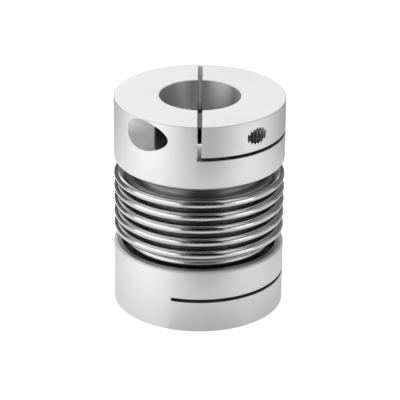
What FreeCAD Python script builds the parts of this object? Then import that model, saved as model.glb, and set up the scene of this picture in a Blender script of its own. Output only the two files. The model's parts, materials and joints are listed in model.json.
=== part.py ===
import FreeCAD, Part
import math
import os

# Clamping bellows coupling, in millimetres.
# Two slit clamp hubs are joined by a thin corrugated bellows, and a cap screw closes each hub on its shaft.
# +Z is the shaft axis. The origin is the centre of the lower hub's end face, on which the coupling stands.
# Every piece is drawn at the lower end. Both ends are alike: the upper one is the lower one turned
# half a turn about a line along X through the middle of the coupling.

Vector = FreeCAD.Vector
X_AXIS = Vector(1, 0, 0)
Z_AXIS = Vector(0, 0, 1)
ORIGIN = Vector(0, 0, 0)

# Turned hub
hub_dia = 40.0
hub_length = 15.35
bore_dia = 19.0
rim_chamfer = 0.45
bore_chamfer = 0.12

# Bellows, as wide as the hubs: its wall, how far the waves and the bead at each end stand out from the roots,
# the radius of the wall's middle in a crest, and the spacing of the waves
bellows_wall = 0.25
wave_height = 5.0
bead_height = 2.35
crest_bend = 1.0
pitch = 3.2
convolutions = 5

# Fineness of the drawn bellows: chords along each bend, and flats round the axis
crest_chords = 4
root_chords = 2
flats_round = 28

# Seat of the bellows in the hub: an annular recess round a spigot that the cuff is bonded to
recess_depth = 3.5
bead_standoff = 0.75
bead_clearance = 0.85
bond_gap = 0.03

# Saw cuts: one along the axis on the clamp side, and one across it that frees one arm of the clamp
saw_dia = 63.0
slit_width = 1.0
slit_depth = 8.3
slit_saw_stop = 2.6
cross_slit_width = 0.8
cross_slit_run = 6.2
cut_margin = 2.0

# Clamp screw: hexagon socket cap screw, M4 x 16
screw_dia = 4.0
screw_length = 16.0
screw_tip_chamfer = 0.5
head_dia = 7.0
head_height = 4.0
head_edge = 0.4
socket_width = 3.0
socket_depth = 2.0

# Screw holes in the hub
screw_inset = 5.05
counterbore_wall = 0.2
head_seat = 6.2
counterbore_clearance = 0.2
shank_clearance = 0.15
thread_clearance = 0.02

# Worked out from the sizes above
hub_r = hub_dia / 2
bore_r = bore_dia / 2
saw_r = saw_dia / 2
crest_dia = hub_dia
root_dia = crest_dia - 2 * wave_height
bead_dia = root_dia + 2 * bead_height
root_bend = pitch / 2 - crest_bend
crest_middle_r = crest_dia / 2 - bellows_wall / 2
root_middle_r = root_dia / 2 - bellows_wall / 2
bead_middle_r = bead_dia / 2 - bellows_wall / 2
root_centre_r = root_middle_r + root_bend
recess_r = bead_dia / 2 + bead_clearance
recess_floor_z = hub_length - recess_depth
spigot_r = root_dia / 2 - bellows_wall - bond_gap
first_bead_z = hub_length + bead_standoff
last_bead_z = first_bead_z + (convolutions + 1) * pitch
length = first_bead_z + last_bead_z
counterbore_r = head_dia / 2 + counterbore_clearance
screw_z = counterbore_r + counterbore_wall
screw_axis = Vector(0, hub_r - screw_inset, screw_z)


def revolved(points, axis):
    """Solid of revolution about an axis through the origin, from a closed outline of points."""
    outline = Part.makePolygon(points + points[:1])
    return Part.Face(outline).revolve(ORIGIN, axis, 360)


def turned_blank():
    """Hub as it leaves the lathe: end face down, bore right through, recess and spigot at the inner end."""
    outline = [
        (bore_r + bore_chamfer, 0),
        (hub_r, 0),
        (hub_r, hub_length - rim_chamfer),
        (hub_r - rim_chamfer, hub_length),
        (recess_r, hub_length),
        (recess_r, recess_floor_z),
        (spigot_r, recess_floor_z),
        (spigot_r, hub_length),
        (bore_r, hub_length),
        (bore_r, bore_chamfer),
    ]
    return revolved([Vector(r, 0, z) for r, z in outline], Z_AXIS)


def clamp_slit():
    """Saw cut along the axis through the clamp side. The disc stops there and leaves its arc opposite."""
    disc_base = Vector(-slit_width / 2, slit_saw_stop, slit_depth - saw_r)
    disc = Part.makeCylinder(saw_r, slit_width, disc_base, X_AXIS)
    path_length = hub_r + cut_margin - slit_saw_stop
    path_corner = Vector(-slit_width / 2, slit_saw_stop, -cut_margin)
    path = Part.makeBox(slit_width, path_length, slit_depth + cut_margin, path_corner)
    return disc.fuse(path)


def cross_slit():
    """Saw cut square to the axis, plunged from +X until the disc's edge is flush with the slit's far side."""
    clamp_side = Vector(-slit_width / 2, math.sqrt(hub_r**2 - (slit_width / 2) ** 2), 0)
    far_side = Vector(-cross_slit_run, -math.sqrt(hub_r**2 - cross_slit_run**2), 0)
    chord = clamp_side - far_side
    reach = math.sqrt(saw_r**2 - (chord.Length / 2) ** 2)
    towards_saw = chord.cross(Z_AXIS).normalize()
    centre = (clamp_side + far_side) / 2 + towards_saw * reach
    centre.z = slit_depth - cross_slit_width
    return Part.makeCylinder(saw_r, cross_slit_width, centre, Z_AXIS)


def screw_hole():
    """Counterbore and clearance hole on the head's side of the slit, and a threaded hole on the other."""
    seat = screw_axis - X_AXIS * head_seat
    counterbore = Part.makeCylinder(counterbore_r, hub_r, seat, -X_AXIS)
    clearance_r = screw_dia / 2 + shank_clearance
    clearance = Part.makeCylinder(clearance_r, head_seat, seat, X_AXIS)
    thread_r = screw_dia / 2 + thread_clearance
    threaded = Part.makeCylinder(thread_r, hub_r, screw_axis, X_AXIS)
    return counterbore.fuse([clearance, threaded])


def clamp_hub():
    hub = turned_blank()
    for cutter in (clamp_slit(), cross_slit(), screw_hole()):
        hub = hub.cut(cutter)
    return hub


def bend(centre_r, centre_z, radius, start_deg, end_deg, chords):
    """Points along an arc in the XZ plane, with angles measured from +X towards +Z."""
    points = []
    for index in range(chords + 1):
        turn = math.radians(start_deg + (end_deg - start_deg) * index / chords)
        points.append(Vector(centre_r + radius * math.cos(turn), 0, centre_z + radius * math.sin(turn)))
    return points


def wall_side(offset):
    """One side of the bellows wall from end to end: offset is its distance outside the wall's middle."""
    root_r = root_bend - offset
    crest_r = crest_bend + offset
    below = root_bend + crest_bend
    cuff_r = root_middle_r + offset
    half_root_chords = root_chords // 2
    points = [Vector(cuff_r, 0, recess_floor_z)]
    points += bend(root_centre_r, first_bead_z - below, root_r, 180, 90, half_root_chords)
    for index in range(convolutions + 2):
        peak_z = first_bead_z + index * pitch
        is_bead = index in (0, convolutions + 1)
        peak_r = bead_middle_r if is_bead else crest_middle_r
        points += bend(peak_r - crest_bend, peak_z, crest_r, -90, 90, crest_chords)
        if index <= convolutions:
            points += bend(root_centre_r, peak_z + below, root_r, 270, 90, root_chords)
    points += bend(root_centre_r, last_bead_z + below, root_r, 270, 180, half_root_chords)
    points.append(Vector(cuff_r, 0, length - recess_floor_z))
    return points


def corrugated_bellows():
    """Thin tube with a cuff at each end, a half-height bead over each hub's recess and full crests between.

    The wall's section is swept round a ring of flats, mitred at their corners.
    """
    outline = wall_side(bellows_wall / 2) + wall_side(-bellows_wall / 2)[::-1]
    section = Part.makePolygon(outline + outline[:1])
    half_flat = math.pi / flats_round
    corner_r = root_centre_r / math.cos(half_flat)
    corners = []
    for index in range(flats_round + 1):
        turn = half_flat * (2 * index - 1)
        corners.append(Vector(corner_r * math.cos(turn), corner_r * math.sin(turn), 0))
    mitred = 1
    return Part.makePolygon(corners).makePipeShell([section], True, False, mitred)


def clamp_screw():
    """Cap screw with its axis along X: the head is in the counterbore and the shank crosses the slit."""
    head_r = head_dia / 2
    shank_r = screw_dia / 2
    outline = [
        (-head_height, 0),
        (-head_height, head_r - head_edge),
        (-head_height + head_edge, head_r),
        (0, head_r),
        (0, shank_r),
        (screw_length - screw_tip_chamfer, shank_r),
        (screw_length, shank_r - screw_tip_chamfer),
        (screw_length, 0),
    ]
    screw = revolved([Vector(x, r, 0) for x, r in outline], X_AXIS)
    corner_r = socket_width / math.sqrt(3)
    corners = []
    for index in range(7):
        turn = math.radians(60 * index)
        corners.append(Vector(-head_height, corner_r * math.cos(turn), corner_r * math.sin(turn)))
    socket = Part.Face(Part.makePolygon(corners)).extrude(X_AXIS * socket_depth)
    screw = screw.cut(socket)
    screw.translate(screw_axis - X_AXIS * head_seat)
    return screw


def turned_over(shape):
    """The same piece at the coupling's other end."""
    other = shape.copy()
    other.rotate(Vector(0, 0, length / 2), X_AXIS, 180)
    return other


lower_hub = clamp_hub()
lower_clamp_screw = clamp_screw()
pieces_by_name = {
    "lower_hub": lower_hub,
    "upper_hub": turned_over(lower_hub),
    "bellows": corrugated_bellows(),
    "lower_clamp_screw": lower_clamp_screw,
    "upper_clamp_screw": turned_over(lower_clamp_screw),
}

os.makedirs("parts", exist_ok=True)
for name, piece in pieces_by_name.items():
    piece.exportStep(f"parts/{name}.step")
    print(name, "valid" if piece.isValid() else "not valid", len(piece.Solids), "solid", round(piece.Volume, 1), "mm3")
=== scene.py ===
import json
import math

import bmesh
import bpy
from mathutils import Matrix, Vector


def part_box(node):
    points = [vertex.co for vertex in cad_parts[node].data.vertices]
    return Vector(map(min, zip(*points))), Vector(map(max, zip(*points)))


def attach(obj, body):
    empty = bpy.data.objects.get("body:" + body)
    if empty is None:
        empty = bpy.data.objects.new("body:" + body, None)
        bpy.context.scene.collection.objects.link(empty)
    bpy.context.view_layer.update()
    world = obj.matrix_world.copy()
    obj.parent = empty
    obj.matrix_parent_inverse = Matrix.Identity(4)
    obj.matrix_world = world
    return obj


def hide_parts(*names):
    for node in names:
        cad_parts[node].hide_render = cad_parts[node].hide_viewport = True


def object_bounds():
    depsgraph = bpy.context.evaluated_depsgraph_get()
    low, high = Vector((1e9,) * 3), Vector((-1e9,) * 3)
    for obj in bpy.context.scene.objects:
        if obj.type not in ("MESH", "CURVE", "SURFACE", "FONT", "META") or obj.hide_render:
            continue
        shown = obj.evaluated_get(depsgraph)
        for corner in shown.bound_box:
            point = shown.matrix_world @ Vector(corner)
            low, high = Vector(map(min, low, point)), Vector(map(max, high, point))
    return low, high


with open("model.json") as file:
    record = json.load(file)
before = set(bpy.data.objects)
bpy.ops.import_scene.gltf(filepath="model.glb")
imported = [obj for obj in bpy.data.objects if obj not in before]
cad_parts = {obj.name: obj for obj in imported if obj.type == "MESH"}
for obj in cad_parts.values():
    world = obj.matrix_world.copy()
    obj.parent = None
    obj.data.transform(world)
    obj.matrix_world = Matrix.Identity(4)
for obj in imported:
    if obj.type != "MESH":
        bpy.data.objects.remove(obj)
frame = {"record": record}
cad_low, cad_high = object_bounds()

# Clamp hubs.
# Each is turned from aluminium bar, bored for the shaft, recessed for the bellows' cuff, drilled and tapped
# for its screw, and sawn twice so that the screw can close it. Sharp edges are broken by a fine chamfer.
MM = 0.001
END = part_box("lower_hub")[1]
LENGTH = cad_high.z
HUB_R = END.x
HUB_LENGTH = END.z
BORE_R = frame["record"]["mounts"][0]["dims"]["r_mm"] * MM
RIM_CHAMFER = 0.45 * MM
EDGE_BREAK = 0.12 * MM
CUT_EDGE_BREAK = 0.07 * MM
RECESS_R = 18.2 * MM
RECESS_DEPTH = 3.5 * MM
SPIGOT_R = 14.72 * MM
SAW_R = 31.5 * MM
SAW_ARC_DEG = 48
SLIT_WIDTH = 1.0 * MM
SLIT_DEPTH = 8.3 * MM
SLIT_STOP = 2.6 * MM
CROSS_SLIT_WIDTH = 0.8 * MM
CROSS_SLIT_END = Vector((-6.2, -19.0149)) * MM
SCREW_AXIS = Vector((0, 14.95, 3.9)) * MM
HEAD_SEAT = 6.2 * MM
COUNTERBORE_R = 3.7 * MM
CLEARANCE_R = 2.15 * MM
THREAD_R = 2.0 * MM
THREAD_DEPTH = 0.42 * MM
THREAD_PITCH = 0.7 * MM
THREAD_PHASE = 0.36 * MM
THREAD_GAP = 0.02 * MM
MARGIN = 2.0 * MM
ALONG_X = Matrix.Rotation(math.radians(90), 4, "Y")

# Fineness of the hubs' meshes, and how near two points count as one
HUB_STEPS = 294
CUTTER_STEPS = 96
THREAD_STEPS = 72
SAW_STEPS = 480
SAME_POINT = 0.001 * MM
CUT_SEAM = 0.004 * MM
FLUSH = 0.0001 * MM
SMOOTH_DEG = 32
SHARP_DEG = 30

# Each finish has its number on a hub; the numbers for the rim, the recess, the cross slit and the screw's
# holes also carry painted shade or light
TURNED, SAWN, CROSS_SAWN_SHADED, DRILLED_LIT, TAPPED_SHADED, BORED, SHADED_RIM_FACE, RECESS_SHADE = range(8)


def spun(corners, steps, edge_break=0.0):
    """Closed solid turned round Z from an outline of (radius, z) corners."""
    mesh = bmesh.new()
    ring = [mesh.verts.new((radius, 0, z)) for radius, z in corners]
    mesh.faces.new(ring)
    if edge_break:
        bmesh.ops.bevel(mesh, geom=ring, offset=edge_break, offset_type="OFFSET", segments=1, profile=0.5,
                        affect="VERTICES", material=-1)
    bmesh.ops.delete(mesh, geom=mesh.faces[:], context="FACES_ONLY")
    bmesh.ops.spin(mesh, geom=mesh.verts[:] + mesh.edges[:], axis=(0, 0, 1), angle=math.tau, steps=steps,
                   use_merge=True)
    bmesh.ops.remove_doubles(mesh, verts=mesh.verts[:], dist=SAME_POINT)
    bmesh.ops.recalc_face_normals(mesh, faces=mesh.faces[:])
    return mesh


def as_object(mesh, name):
    """A bmesh as an object in the scene."""
    data = bpy.data.meshes.new(name)
    mesh.to_mesh(data)
    mesh.free()
    made = bpy.data.objects.new(name, data)
    bpy.context.scene.collection.objects.link(made)
    return made


def threaded_rod(radius, start, end):
    """Right-hand thread along X: a zigzag of crests and roots is spun one turn as it advances one pitch."""
    mesh = bmesh.new()
    first = math.floor(start / THREAD_PITCH) - 2
    beyond = math.ceil(end / THREAD_PITCH) + 2
    flat = THREAD_PITCH / 8
    last = None
    for turn in range(first, beyond):
        z = turn * THREAD_PITCH + THREAD_PHASE
        for along, depth in ((0, 0), (flat, 0), (THREAD_PITCH / 2, 1), (THREAD_PITCH / 2 + flat, 1)):
            vert = mesh.verts.new((radius - THREAD_DEPTH * depth, 0, z + along))
            if last:
                mesh.edges.new((last, vert))
            last = vert
    mesh.edges.new((last, mesh.verts.new((radius, 0, beyond * THREAD_PITCH + THREAD_PHASE))))
    bmesh.ops.spin(mesh, geom=mesh.verts[:] + mesh.edges[:], axis=(0, 0, 1), angle=math.tau,
                   steps=THREAD_STEPS, dvec=(0, 0, THREAD_PITCH / THREAD_STEPS))
    bmesh.ops.remove_doubles(mesh, verts=mesh.verts[:], dist=SAME_POINT)
    for z, side in ((start, -1), (end, 1)):
        bmesh.ops.bisect_plane(mesh, geom=mesh.verts[:] + mesh.edges[:] + mesh.faces[:], plane_co=(0, 0, z),
                               plane_no=(0, 0, side), clear_outer=True)
        rim = [edge for edge in mesh.edges
               if edge.is_boundary and all(abs(vert.co.z - z) < FLUSH for vert in edge.verts)]
        bmesh.ops.contextual_create(mesh, geom=rim)
    bmesh.ops.recalc_face_normals(mesh, faces=mesh.faces[:])
    bmesh.ops.transform(mesh, matrix=ALONG_X, verts=mesh.verts[:])
    return mesh


def cut(blank, tools, operation="DIFFERENCE"):
    """The blank's mesh after each tool has been taken from it. A tool's faces bring their finish's number."""
    for tool in tools:
        step = blank.modifiers.new(tool.name, "BOOLEAN")
        step.object = tool
        step.operation = operation
        step.solver = "EXACT"
    shown = blank.evaluated_get(bpy.context.evaluated_depsgraph_get())
    result = bmesh.new()
    result.from_mesh(shown.to_mesh())
    shown.to_mesh_clear()
    for used in [blank] + tools:
        bpy.data.objects.remove(used)
    return result


def numbered(mesh, number):
    """All faces of a tool carry the number of the finish that it leaves."""
    for face in mesh.faces:
        face.material_index = number
    return mesh


def slit_tool():
    """Path of the saw along the axis: its disc stops past the bore, and leaves an arc on the far side."""
    mesh = bmesh.new()
    top = mesh.verts.new((-SLIT_WIDTH / 2, SLIT_STOP, SLIT_DEPTH))
    centre = (-SLIT_WIDTH / 2, SLIT_STOP, SLIT_DEPTH - SAW_R)
    bmesh.ops.spin(mesh, geom=[top], cent=centre, axis=(1, 0, 0), angle=math.radians(SAW_ARC_DEG),
                   steps=CUTTER_STEPS)
    far = min(mesh.verts, key=lambda vert: vert.co.y)
    corners = [far, mesh.verts.new((-SLIT_WIDTH / 2, HUB_R + MARGIN, far.co.z)),
               mesh.verts.new((-SLIT_WIDTH / 2, HUB_R + MARGIN, SLIT_DEPTH)), top]
    for first, second in zip(corners, corners[1:]):
        mesh.edges.new((first, second))
    side = bmesh.ops.contextual_create(mesh, geom=mesh.edges[:])["faces"]
    swept = bmesh.ops.extrude_face_region(mesh, geom=side)["geom"]
    moved = [part for part in swept if isinstance(part, bmesh.types.BMVert)]
    bmesh.ops.translate(mesh, verts=moved, vec=(SLIT_WIDTH, 0, 0))
    bmesh.ops.recalc_face_normals(mesh, faces=mesh.faces[:])
    return as_object(numbered(mesh, SAWN), "slit_saw")


def cross_slit_tool():
    """The same disc laid flat and plunged in from the side, until it is flush with the slit's far wall."""
    near = Vector((-SLIT_WIDTH / 2, math.sqrt(HUB_R**2 - (SLIT_WIDTH / 2) ** 2)))
    chord = near - CROSS_SLIT_END
    reach = math.sqrt(SAW_R**2 - (chord.length / 2) ** 2)
    centre = (near + CROSS_SLIT_END) / 2 + Vector((chord.y, -chord.x)).normalized() * reach
    mesh = bmesh.new()
    place = Matrix.Translation((centre.x, centre.y, SLIT_DEPTH - CROSS_SLIT_WIDTH / 2))
    bmesh.ops.create_cone(mesh, cap_ends=True, segments=SAW_STEPS, radius1=SAW_R, radius2=SAW_R,
                          depth=CROSS_SLIT_WIDTH, matrix=place)
    return as_object(numbered(mesh, CROSS_SAWN_SHADED), "cross_saw")


def counterbore_tool():
    """Stepped cutter for the screw's head and its clearance hole."""
    outline = [
        (0, -HUB_R - MARGIN),
        (COUNTERBORE_R, -HUB_R - MARGIN),
        (COUNTERBORE_R, -HEAD_SEAT),
        (CLEARANCE_R, -HEAD_SEAT),
        (CLEARANCE_R, 0),
        (0, 0),
    ]
    mesh = spun(outline, CUTTER_STEPS)
    bmesh.ops.transform(mesh, matrix=Matrix.Translation(SCREW_AXIS) @ ALONG_X, verts=mesh.verts[:])
    return as_object(numbered(mesh, DRILLED_LIT), "counterbore")


def tap_tool():
    """Tap for the threaded hole on the slit's other side, in step with the screw's own thread."""
    mesh = threaded_rod(THREAD_R + THREAD_GAP, -SLIT_WIDTH / 4, HUB_R)
    bmesh.ops.translate(mesh, verts=mesh.verts[:], vec=SCREW_AXIS)
    return as_object(numbered(mesh, TAPPED_SHADED), "tap")


def crease(mesh, apart=()):
    """Shades smooth up to a limit, but never across the edges of the faces set apart or of another finish."""
    apart = set(apart)
    for face in mesh.faces:
        face.smooth = True
    for edge in mesh.edges:
        pair = edge.link_faces
        if len(pair) != 2:
            continue
        other_finish = pair[0].material_index != pair[1].material_index
        edge_of_apart = (pair[0] in apart) != (pair[1] in apart)
        if other_finish or edge_of_apart or edge.calc_face_angle() > math.radians(SMOOTH_DEG):
            edge.smooth = False


def turned_blank():
    """Hub as it leaves the lathe, with a number on the bore, on the machined rim under the bellows and on the
    recess where the cuff is glued; the rim and the recess carry painted shade.
    """
    floor = HUB_LENGTH - RECESS_DEPTH
    outline = [
        (BORE_R, 0),
        (HUB_R, 0),
        (HUB_R, HUB_LENGTH - RIM_CHAMFER),
        (HUB_R - RIM_CHAMFER, HUB_LENGTH),
        (RECESS_R, HUB_LENGTH),
        (RECESS_R, floor),
        (SPIGOT_R, floor),
        (SPIGOT_R, HUB_LENGTH),
        (BORE_R, HUB_LENGTH),
    ]
    blank = spun(outline, HUB_STEPS, EDGE_BREAK)
    for face in blank.faces:
        radii = [vert.co.xy.length for vert in face.verts]
        if max(radii) < BORE_R + EDGE_BREAK / 2:
            face.material_index = BORED
        if min(radii) > RECESS_R and all(vert.co.z > HUB_LENGTH - EDGE_BREAK / 2 for vert in face.verts):
            face.material_index = SHADED_RIM_FACE
        if SPIGOT_R - EDGE_BREAK / 2 < min(radii) and max(radii) < RECESS_R + EDGE_BREAK / 2:
            face.material_index = RECESS_SHADE
    return as_object(blank, "hub_blank")


def hub_mesh():
    """The lower hub, finished: turned, sawn, drilled, tapped, and its cut edges broken."""
    mesh = cut(turned_blank(), [slit_tool(), cross_slit_tool(), counterbore_tool(), tap_tool()])
    bmesh.ops.remove_doubles(mesh, verts=mesh.verts[:], dist=CUT_SEAM)
    bmesh.ops.dissolve_degenerate(mesh, edges=mesh.edges[:], dist=SAME_POINT)
    sharp = []
    for edge in mesh.edges:
        if len(edge.link_faces) != 2 or not edge.is_convex:
            continue
        numbers = {face.material_index for face in edge.link_faces}
        one_from_saw_or_drill = len(numbers & {SAWN, CROSS_SAWN_SHADED, DRILLED_LIT}) > 0
        if len(numbers) == 2 and one_from_saw_or_drill and edge.calc_face_angle() > math.radians(SHARP_DEG):
            sharp.append(edge)
    broken = bmesh.ops.bevel(mesh, geom=sharp, offset=CUT_EDGE_BREAK, offset_type="OFFSET", segments=1,
                             profile=0.5, affect="EDGES", clamp_overlap=False, material=-1)["faces"]
    crease(mesh, broken)
    return mesh


def turn_over(mesh):
    """Half a turn about a line along X through the coupling's middle, to its other end."""
    place = Matrix.Translation((0, 0, LENGTH)) @ Matrix.Rotation(math.pi, 4, "X")
    bmesh.ops.transform(mesh, matrix=place, verts=mesh.verts[:])
    return mesh


def piece(mesh, name, node, materials):
    """A finished piece that stands for its CAD node."""
    made = as_object(mesh, name)
    for material in materials:
        made.data.materials.append(material)
    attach(made, "root")
    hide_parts(node)
    return made


class Field:
    """A value that varies over a surface, held by a node's socket. Arithmetic on it adds Math nodes."""

    def __init__(self, tree, socket=None):
        self.tree = tree
        self.socket = socket

    def node(self, kind, settings=None, inputs=None, output=0):
        made = self.tree.nodes.new("ShaderNode" + kind)
        for name, value in (settings or {}).items():
            setattr(made, name, value)
        for name, value in (inputs or {}).items():
            if isinstance(value, Field):
                self.tree.links.new(value.socket, made.inputs[name])
            else:
                made.inputs[name].default_value = value
        return Field(self.tree, made.outputs[output])

    def math(self, operation, *values):
        return self.node("Math", {"operation": operation}, dict(enumerate(values)))

    def __add__(self, other):
        return self.math("ADD", self, other)

    def __sub__(self, other):
        return self.math("SUBTRACT", self, other)

    def __rsub__(self, other):
        return self.math("SUBTRACT", other, self)

    def __mul__(self, other):
        return self.math("MULTIPLY", self, other)

    __radd__ = __add__
    __rmul__ = __mul__


def grey(level):
    """A colour without a hue."""
    return (level, level, level)


def metal(name, colour, roughness, **uniform):
    """A bare metal. What varies is linked later, and uniform numbers sit on the shader's own sockets."""
    material = bpy.data.materials.new(name)
    material.use_nodes = True
    tree = material.node_tree
    shader = tree.nodes["Principled BSDF"]
    shader.inputs["Metallic"].default_value = 1.0
    shader.inputs["Base Color"].default_value = (*colour, 1)
    shader.inputs["Roughness"].default_value = roughness
    for socket, value in uniform.items():
        shader.inputs[socket].default_value = value
    return material, shader, Field(tree)


def vary(surface, shader, socket, field):
    """Links a field to one of the shader's sockets."""
    surface.tree.links.new(field.socket, shader.inputs[socket])


def emboss(surface, shader, height, depth):
    """Relief that is too fine to model: it only tilts the light."""
    bump = surface.node("Bump", inputs={"Strength": 1.0, "Distance": depth, "Height": height})
    vary(surface, shader, "Normal", bump)


def place_on(surface):
    """Object coordinates, their radius from the shaft's axis, and their height along it."""
    place = surface.node("TexCoord", output="Object")
    x, y, z = (surface.node("SeparateXYZ", inputs={"Vector": place}, output=axis) for axis in range(3))
    square = x * x + y * y
    radius = square.math("SQRT", square)
    return place, radius, z


def grooves(surface, along, spacing, detail):
    """Uneven grooves round the axis: they change only along the turned outline."""
    return surface.node("TexNoise", {"noise_dimensions": "1D"},
                        {"W": along * (1 / spacing), "Scale": 1.0, "Detail": detail})


def clouds(surface, place, scale, detail):
    """Soft patches without a direction."""
    return surface.node("TexNoise", inputs={"Vector": place, "Scale": scale, "Detail": detail})


def grooved(name, colour, roughness, spacing, depth, **uniform):
    """A hub's surface: fine grooves round the axis, and soft uneven patches left by anodising."""
    groove_contrast = 0.12
    patch_contrast = 0.08
    material, shader, surface = metal(name, colour, roughness, **uniform)
    place, radius, z = place_on(surface)
    fine = grooves(surface, radius + z, spacing, detail=4.0)
    patch = clouds(surface, place, scale=90.0, detail=3.0)
    vary(surface, shader, "Roughness",
         roughness + (fine - 0.5) * groove_contrast + (patch - 0.5) * patch_contrast)
    emboss(surface, shader, fine, depth)
    return material


HUB_COLOUR = grey(0.87)
LATHE_FEED = 0.22 * MM
SAW_FEED = 0.35 * MM
DRILL_FEED = 0.3 * MM
RECESS_STREAKS = 0.3 * MM
FINE_RELIEF = 0.003 * MM
PLAIN_RELIEF = 0.004 * MM
SAWN_RELIEF = 0.006 * MM
SPREAD_ALONG_BORE = {"Anisotropic": 0.95, "Anisotropic Rotation": 0.25}
turned = grooved("turned_aluminium", HUB_COLOUR, 0.60, LATHE_FEED, PLAIN_RELIEF)
bored = grooved("bored_aluminium", HUB_COLOUR, 0.46, LATHE_FEED, FINE_RELIEF, **SPREAD_ALONG_BORE)
# The rim's flat under the bellows is a darker grey than the turned aluminium: painted shade from the bellows'
# overhang.
faced_rim_painted_shade = grooved("faced_aluminium_painted_shade", grey(0.55), 0.4, LATHE_FEED, FINE_RELIEF)
sawn = grooved("sawn_aluminium", HUB_COLOUR, 0.62, SAW_FEED, SAWN_RELIEF)
# The cross slit's walls are a darker grey than the sawn aluminium: painted shade deep in the narrow slit.
cross_sawn_painted_shade = grooved("cross_sawn_aluminium_painted_shade", grey(0.6), 0.35, SAW_FEED, SAWN_RELIEF)
# The counterbore's walls are a paler grey than the turned aluminium: painted light inside the hole.
drilled_painted_light = grooved("drilled_aluminium_painted_light", grey(0.95), 0.7, DRILL_FEED, PLAIN_RELIEF)
# The tapped hole's threads are a mid grey, far darker than the aluminium: painted shade inside the hole.
tapped_painted_shade = grooved("tapped_aluminium_painted_shade", grey(0.5), 0.28, DRILL_FEED, PLAIN_RELIEF)
# The cuff's recess is nearly black on its walls and floor: painted shade for the deep gap round the bellows'
# cuff.
recess_shade = grooved("recess_painted_shade", grey(0.10), 0.5, RECESS_STREAKS, PLAIN_RELIEF)
hub_finishes = [turned, sawn, cross_sawn_painted_shade, drilled_painted_light, tapped_painted_shade, bored, faced_rim_painted_shade, recess_shade]
lower = hub_mesh()
upper = turn_over(lower.copy())
piece(lower, "lower_hub_body", "lower_hub", hub_finishes)
piece(upper, "upper_hub_body", "upper_hub", hub_finishes)

# Bellows.
# It is one thin tube of stainless steel, pressed outwards into five waves with a half-height bead at each
# end, and polished. Its plain cuffs are bonded on the hubs' spigots, down in their recesses.
WALL = 0.25 * MM
WAVES = 5
PITCH = 3.2 * MM
CREST_BEND = 1.0 * MM
ROOT_BEND = PITCH / 2 - CREST_BEND
CREST_R = HUB_R - WALL / 2
ROOT_R = 14.875 * MM
BEAD_R = 17.225 * MM
FIRST_BEAD_Z = HUB_LENGTH + 0.75 * MM
POLISHED_R = 19.1 * MM
FLANK_R = 18.5 * MM
FORMING_SPACING = 0.2 * MM
BELLOWS_STEPS = 240
CREST_CHORDS = 14
ROOT_CHORDS = 10
CUFF_CHORDS = 6


def bellows_wall():
    """Middle of the wall: a turning point draws its bends, and the whole outline turns round the axis."""
    mesh = bmesh.new()
    cuff_z = HUB_LENGTH - RECESS_DEPTH
    last = mesh.verts.new((ROOT_R, 0, cuff_z))

    def bend(radius, z, bend_r, start_deg, end_deg, chords):
        nonlocal last
        for chord in range(chords + 1):
            turn = math.radians(start_deg + (end_deg - start_deg) * chord / chords)
            vert = mesh.verts.new((radius + bend_r * math.cos(turn), 0, z + bend_r * math.sin(turn)))
            mesh.edges.new((last, vert))
            last = vert

    root_centre = ROOT_R + ROOT_BEND
    bend(root_centre, FIRST_BEAD_Z - PITCH / 2, ROOT_BEND, 180, 90, CUFF_CHORDS)
    for wave in range(WAVES + 2):
        z = FIRST_BEAD_Z + wave * PITCH
        peak = BEAD_R if wave in (0, WAVES + 1) else CREST_R
        bend(peak - CREST_BEND, z, CREST_BEND, -90, 90, CREST_CHORDS)
        if wave <= WAVES:
            bend(root_centre, z + PITCH / 2, ROOT_BEND, 270, 90, ROOT_CHORDS)
    bend(root_centre, LENGTH - FIRST_BEAD_Z + PITCH / 2, ROOT_BEND, 270, 180, CUFF_CHORDS)
    mesh.edges.new((last, mesh.verts.new((ROOT_R, 0, LENGTH - cuff_z))))
    bmesh.ops.spin(mesh, geom=mesh.verts[:] + mesh.edges[:], axis=(0, 0, 1), angle=math.tau,
                   steps=BELLOWS_STEPS, use_merge=True)
    bmesh.ops.remove_doubles(mesh, verts=mesh.verts[:], dist=SAME_POINT)
    bmesh.ops.recalc_face_normals(mesh, faces=mesh.faces[:])
    crease(mesh)
    return mesh


def polished_steel():
    """Stainless steel, polished on the crests and duller on the flanks, with faint rings from forming."""
    crest_roughness = 0.10
    unevenness = 0.05
    flank_dullness = 0.13
    cloud_relief = 4.0
    material, shader, surface = metal("polished_stainless_steel", grey(0.62), 0.14)
    place, radius, z = place_on(surface)
    rings = grooves(surface, radius + z, FORMING_SPACING, detail=3.0)
    cloud = clouds(surface, place, scale=160.0, detail=3.0)
    flank = surface.node("MapRange", inputs={"Value": radius, "From Min": POLISHED_R, "From Max": FLANK_R})
    vary(surface, shader, "Roughness",
         crest_roughness + rings * unevenness + cloud * unevenness + flank * flank_dullness)
    emboss(surface, shader, rings + cloud * cloud_relief, 0.002 * MM)
    return material


bellows = piece(bellows_wall(), "bellows_tube", "bellows", [polished_steel()])
thicken = bellows.modifiers.new("wall", "SOLIDIFY")
thicken.thickness = WALL
thicken.offset = 0
thicken.use_even_offset = True

# Clamp screws.
# Two M4 socket head cap screws of black-oxided steel, with a knurled head and a rolled thread. Each goes
# through its hub's clearance hole, crosses the slit and pulls the threaded side towards its head.
HEAD_R = 3.5 * MM
HEAD_HEIGHT = 4.0 * MM
HEAD_EDGE = 0.4 * MM
KNURLS = 60
KNURL_DEPTH = 0.06 * MM
SOCKET_WIDTH = 3.0 * MM
SOCKET_DEPTH = 2.0 * MM
SCREW_LENGTH = 16.0 * MM
TIP_CHAMFER = 0.5 * MM
ENVELOPE_R = THREAD_R * 1.1


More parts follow.
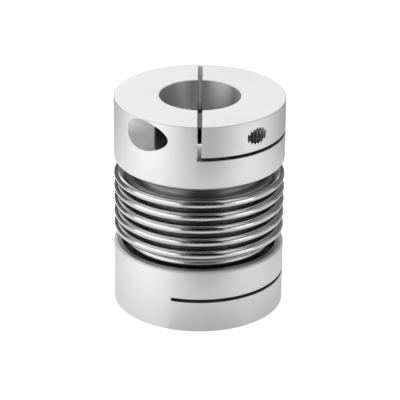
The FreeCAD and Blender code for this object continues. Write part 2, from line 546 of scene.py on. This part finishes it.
def screw_head():
    """Turned head with straight knurls: every second column of its side is pressed in."""
    outline = [
        (0, -HEAD_HEIGHT),
        (HEAD_R - HEAD_EDGE, -HEAD_HEIGHT),
        (HEAD_R, -HEAD_HEIGHT + HEAD_EDGE),
        (HEAD_R, -HEAD_EDGE / 2),
        (HEAD_R - HEAD_EDGE / 2, 0),
        (0, 0),
    ]
    columns = KNURLS * 2
    mesh = spun(outline, columns)
    for vert in mesh.verts:
        column = round(math.atan2(vert.co.y, vert.co.x) / (math.tau / columns))
        radius = math.hypot(vert.co.x, vert.co.y)
        if column % 2 and radius > HEAD_R - HEAD_EDGE / 4:
            vert.co.xy *= (radius - KNURL_DEPTH) / radius
    bmesh.ops.transform(mesh, matrix=ALONG_X, verts=mesh.verts[:])
    return as_object(mesh, "screw_head")


def socket_tool():
    """Hexagonal broach for the key."""
    mesh = bmesh.new()
    corner_r = SOCKET_WIDTH / math.sqrt(3)
    bmesh.ops.create_cone(mesh, cap_ends=True, segments=6, radius1=corner_r, radius2=corner_r,
                          depth=2 * SOCKET_DEPTH, matrix=Matrix.Translation((0, 0, -HEAD_HEIGHT)))
    bmesh.ops.transform(mesh, matrix=ALONG_X, verts=mesh.verts[:])
    return as_object(mesh, "socket_broach")


def screw_mesh():
    """The lower screw at its place."""
    outline = [
        (0, -HEAD_EDGE),
        (ENVELOPE_R, -HEAD_EDGE),
        (ENVELOPE_R, SCREW_LENGTH - TIP_CHAMFER),
        (ENVELOPE_R - TIP_CHAMFER, SCREW_LENGTH),
        (0, SCREW_LENGTH),
    ]
    envelope = spun(outline, THREAD_STEPS)
    bmesh.ops.transform(envelope, matrix=ALONG_X, verts=envelope.verts[:])
    rod = threaded_rod(THREAD_R, -HEAD_EDGE / 2 - HEAD_SEAT, SCREW_LENGTH + MARGIN - HEAD_SEAT)
    bmesh.ops.translate(rod, verts=rod.verts[:], vec=(HEAD_SEAT, 0, 0))
    shank = cut(as_object(rod, "screw_rod"), [as_object(envelope, "screw_envelope")], "INTERSECT")
    head = cut(screw_head(), [socket_tool()])
    screw = cut(as_object(head, "screw_top"), [as_object(shank, "screw_shank")], "UNION")
    crease(screw)
    bmesh.ops.translate(screw, verts=screw.verts[:], vec=SCREW_AXIS - Vector((HEAD_SEAT, 0, 0)))
    return screw


def black_oxide():
    """Oiled black oxide: nearly black, with a satin shine that varies a little."""
    least_roughness = 0.26
    unevenness = 0.14
    material, shader, surface = metal("black_oxide_steel", (0.035, 0.035, 0.037), 0.32)
    place = surface.node("TexCoord", output="Object")
    cloud = clouds(surface, place, scale=900.0, detail=4.0)
    vary(surface, shader, "Roughness", least_roughness + cloud * unevenness)
    emboss(surface, shader, cloud, 0.003 * MM)
    return material


oxide = black_oxide()
lower = screw_mesh()
upper = turn_over(lower.copy())
piece(lower, "lower_cap_screw", "lower_clamp_screw", [oxide])
piece(upper, "upper_cap_screw", "upper_clamp_screw", [oxide])

# Studio.
# The floor and background are white, with a large soft lamp on the left, on the right and behind. Cards that
# the camera doesn't see stand round the coupling, so that its bright metal has something dark to reflect.
CAMERA_ELEVATION = 0.41908
CAMERA_DISTANCE = 0.5659
CAMERA_TARGET = Vector((0.238, 0, 24.73)) * MM
CAMERA_ROLL = 0.01026
SENSOR_WIDTH = 36.0
IMAGE_PIXELS = 400
FOCAL_PIXELS = 2395
LAMP_DISTANCE = 0.45
TENT_CENTRE = Vector((0, 0, LENGTH / 2))
TENT_R = 0.8
FOOT_R = 0.032
NEAR_R = 0.05
MIDDLE_R = 0.09
FAR_R = 0.13
CARD_HEIGHT = 0.05 * MM
CARD_STEPS = 24
WALL_ROWS = 8
FLOOR_ROWS = 4
FLOOR_R = 2.0
FLOOR_STEPS = 96
AMBIENT = 0.06
WHITE = (1, 1, 1, 1)
PAPER_COLOUR = grey(0.85)
PAPER_ROUGHNESS = 0.8
PAPER_GLOW = 0.86


def toward(azimuth_deg, elevation_deg, distance):
    """A place round the coupling: azimuth from the camera's side towards +X."""
    azimuth = math.radians(azimuth_deg)
    elevation = math.radians(elevation_deg)
    flat = distance * math.cos(elevation)
    height = distance * math.sin(elevation)
    return Vector((flat * math.sin(azimuth), -flat * math.cos(azimuth), height)) + TENT_CENTRE


def soft_lamp(name, azimuth_deg, elevation_deg, size, level):
    """Rectangular lamp that faces the coupling. Level is its brightness, where 1 is white."""
    lamp = bpy.data.lights.new(name, "AREA")
    lamp.shape = "RECTANGLE"
    lamp.size, lamp.size_y = size
    lamp.energy = level * math.pi * size[0] * size[1]
    made = bpy.data.objects.new(name, lamp)
    made.location = toward(azimuth_deg, elevation_deg, LAMP_DISTANCE)
    made.rotation_euler = (made.location - TENT_CENTRE).to_track_quat("Z", "Y").to_euler()
    bpy.context.scene.collection.objects.link(made)


def card(name, outline, sector, level):
    """Card swept round the coupling from azimuth to azimuth. Only reflections show it. Level 1 is white."""
    from_deg, to_deg = sector
    mesh = bmesh.new()
    ring = [mesh.verts.new(toward(from_deg, elevation_deg, distance)) for elevation_deg, distance in outline]
    for first, second in zip(ring, ring[1:]):
        mesh.edges.new((first, second))
    bmesh.ops.spin(mesh, geom=mesh.verts[:] + mesh.edges[:], axis=(0, 0, 1),
                   angle=math.radians(to_deg - from_deg), steps=CARD_STEPS)
    made = as_object(mesh, name)
    made.visible_camera = False
    made.visible_diffuse = False
    made.visible_shadow = False
    material = bpy.data.materials.new(name)
    material.use_nodes = True
    shade = Field(material.node_tree)
    glow = shade.node("Emission", inputs={"Color": WHITE, "Strength": level})
    material.node_tree.links.new(glow.socket, material.node_tree.nodes["Material Output"].inputs["Surface"])
    made.data.materials.append(material)


def wall_card(name, low_deg, high_deg, sector, level):
    """Upright card between two elevations."""
    outline = []
    for row in range(WALL_ROWS + 1):
        outline.append((low_deg + (high_deg - low_deg) * row / WALL_ROWS, TENT_R))
    card(name, outline, sector, level)


def floor_card(name, inner_r, outer_r, sector, level):
    """Card that lies on the floor between two radii."""
    height = TENT_CENTRE.z - CARD_HEIGHT
    outline = []
    for row in range(FLOOR_ROWS + 1):
        radius = inner_r * (outer_r / inner_r) ** (row / FLOOR_ROWS)
        outline.append((-math.degrees(math.atan2(height, radius)), math.hypot(height, radius)))
    card(name, outline, sector, level)


soft_lamp("left_lamp", -61, 12, (0.54, 0.22), 0.65)
soft_lamp("right_lamp", 58, 4, (0.26, 0.14), 0.8)
soft_lamp("back_lamp", -172, 45, (0.50, 0.22), 1.35)

# Sectors that several cards share, from azimuth to azimuth
ALL_ROUND = (-180, 180)
FRONT = (-22, 32)
RIGHT = (32, 80)
RIGHT_REAR = (80, 112)
BACK_RIGHT = (112, 160)
BACK = (160, 200)
BACK_LEFT = (200, 254)
LEFT = (254, 338)

wall_card("top_card", 66, 90, ALL_ROUND, 0.02)
floor_card("front_foot", HUB_R, FOOT_R, FRONT, 0.5)
floor_card("front_near", FOOT_R, NEAR_R, FRONT, 0.95)
floor_card("front_middle", NEAR_R, MIDDLE_R, FRONT, 0.7)
floor_card("front_far", MIDDLE_R, FAR_R, FRONT, 0.12)
floor_card("front_edge", FAR_R, TENT_R, FRONT, 0.01)
wall_card("front_wall", 0, 50, (-12, 32), 0.006)
wall_card("front_left_wall", 0, 50, (-24, -12), 0.15)
wall_card("front_left_high_wall", 22, 50, (-44, -24), 0.25)
wall_card("front_bar", 50, 66, (-24, 32), 0.15)
floor_card("right_foot", HUB_R, FOOT_R, (32, 112), 0.6)
floor_card("right_near", FOOT_R, NEAR_R, RIGHT, 0.85)
floor_card("right_middle", NEAR_R, MIDDLE_R, RIGHT, 1.1)
floor_card("right_front_far", MIDDLE_R, TENT_R, (32, 46), 0.7)
floor_card("right_far", MIDDLE_R, TENT_R, (46, 72), 1.6)
floor_card("right_back_far", MIDDLE_R, TENT_R, (72, 112), 0.7)
wall_card("right_wall", 0, 18, RIGHT, 0.42)
wall_card("right_middle_wall", 18, 36, RIGHT, 0.16)
wall_card("right_high_wall", 36, 66, RIGHT, 1.0)
floor_card("right_rear_near", FOOT_R, MIDDLE_R, RIGHT_REAR, 0.9)
wall_card("right_rear_wall", 0, 40, RIGHT_REAR, 0.38)
floor_card("back_right_near", HUB_R, MIDDLE_R, BACK_RIGHT, 0.75)
floor_card("back_right_far", MIDDLE_R, TENT_R, BACK_RIGHT, 0.14)
wall_card("back_right_wall", 0, 40, (112, 155), 0.18)
wall_card("back_right_high_wall", 40, 66, (80, 155), 0.12)
floor_card("back_near", HUB_R, MIDDLE_R, BACK, 0.4)
floor_card("back_far", MIDDLE_R, TENT_R, BACK, 0.1)
wall_card("back_wall", 0, 26, (155, 200), 0.08)
floor_card("back_left_near", FOOT_R, MIDDLE_R, BACK_LEFT, 1.0)
floor_card("back_left_far", MIDDLE_R, FAR_R, BACK_LEFT, 0.35)
floor_card("back_left_edge", FAR_R, TENT_R, BACK_LEFT, 0.07)
wall_card("back_left_wall", 0, 23, BACK_LEFT, 0.1)
wall_card("back_left_high_wall", 23, 50, (214, 265), 0.5)
wall_card("left_high_wall", 26, 66, (276, 316), 0.7)
floor_card("left_foot", HUB_R, FOOT_R, (200, 338), 0.75)
floor_card("left_rear_far", MIDDLE_R, TENT_R, (254, 272), 0.8)
wall_card("left_rear_wall", 0, 23, (254, 268), 0.5)
floor_card("left_near", FOOT_R, NEAR_R, LEFT, 0.85)
floor_card("left_middle", NEAR_R, MIDDLE_R, LEFT, 1.1)
floor_card("left_far", MIDDLE_R, TENT_R, (272, 338), 1.35)


def seen(surface):
    """1 for rays that show the background: the camera's, and what metal reflects or glass lets through."""
    camera_ray = surface.node("LightPath", output="Is Camera Ray")
    glossy_ray = surface.node("LightPath", output="Is Glossy Ray")
    through_ray = surface.node("LightPath", output="Is Transmission Ray")
    return camera_ray + glossy_ray + through_ray


world = bpy.data.worlds.new("studio")
world.use_nodes = True
bpy.context.scene.world = world
background = world.node_tree.nodes["Background"]
background.inputs["Color"].default_value = WHITE
brightness = AMBIENT + (1 - AMBIENT) * seen(Field(world.node_tree))
world.node_tree.links.new(brightness.socket, background.inputs["Strength"])

ground = bmesh.new()
bmesh.ops.create_circle(ground, cap_ends=True, radius=FLOOR_R, segments=FLOOR_STEPS)
floor = as_object(ground, "floor")
paper = bpy.data.materials.new("white_paper")
paper.use_nodes = True
paper_shader = paper.node_tree.nodes["Principled BSDF"]
paper_shader.inputs["Base Color"].default_value = (*PAPER_COLOUR, 1)
paper_shader.inputs["Roughness"].default_value = PAPER_ROUGHNESS
paper_tree = Field(paper.node_tree)
lit = Field(paper.node_tree, paper_shader.outputs["BSDF"])
glow = paper_tree.node("Emission", inputs={"Color": WHITE, "Strength": PAPER_GLOW})
both = paper_tree.node("AddShader", inputs={0: lit, 1: glow})
mixed = paper_tree.node("MixShader", inputs={0: seen(paper_tree), 1: lit, 2: both})
paper.node_tree.links.new(mixed.socket, paper.node_tree.nodes["Material Output"].inputs["Surface"])
floor.data.materials.append(paper)

camera_data = bpy.data.cameras.new("camera")
camera_data.sensor_width = SENSOR_WIDTH
camera_data.lens = FOCAL_PIXELS / IMAGE_PIXELS * SENSOR_WIDTH
camera_data.clip_start = 0.01
camera = bpy.data.objects.new("camera", camera_data)
bpy.context.scene.collection.objects.link(camera)
backwards = Vector((0, -math.cos(CAMERA_ELEVATION), math.sin(CAMERA_ELEVATION)))
upright = Matrix.Rotation(math.pi / 2 - CAMERA_ELEVATION, 4, "X")
camera.matrix_world = (Matrix.Translation(CAMERA_TARGET + backwards * CAMERA_DISTANCE) @ upright
                       @ Matrix.Rotation(CAMERA_ROLL, 4, "Z"))
bpy.context.scene.camera = camera
bpy.context.scene.view_settings.view_transform = "Standard"
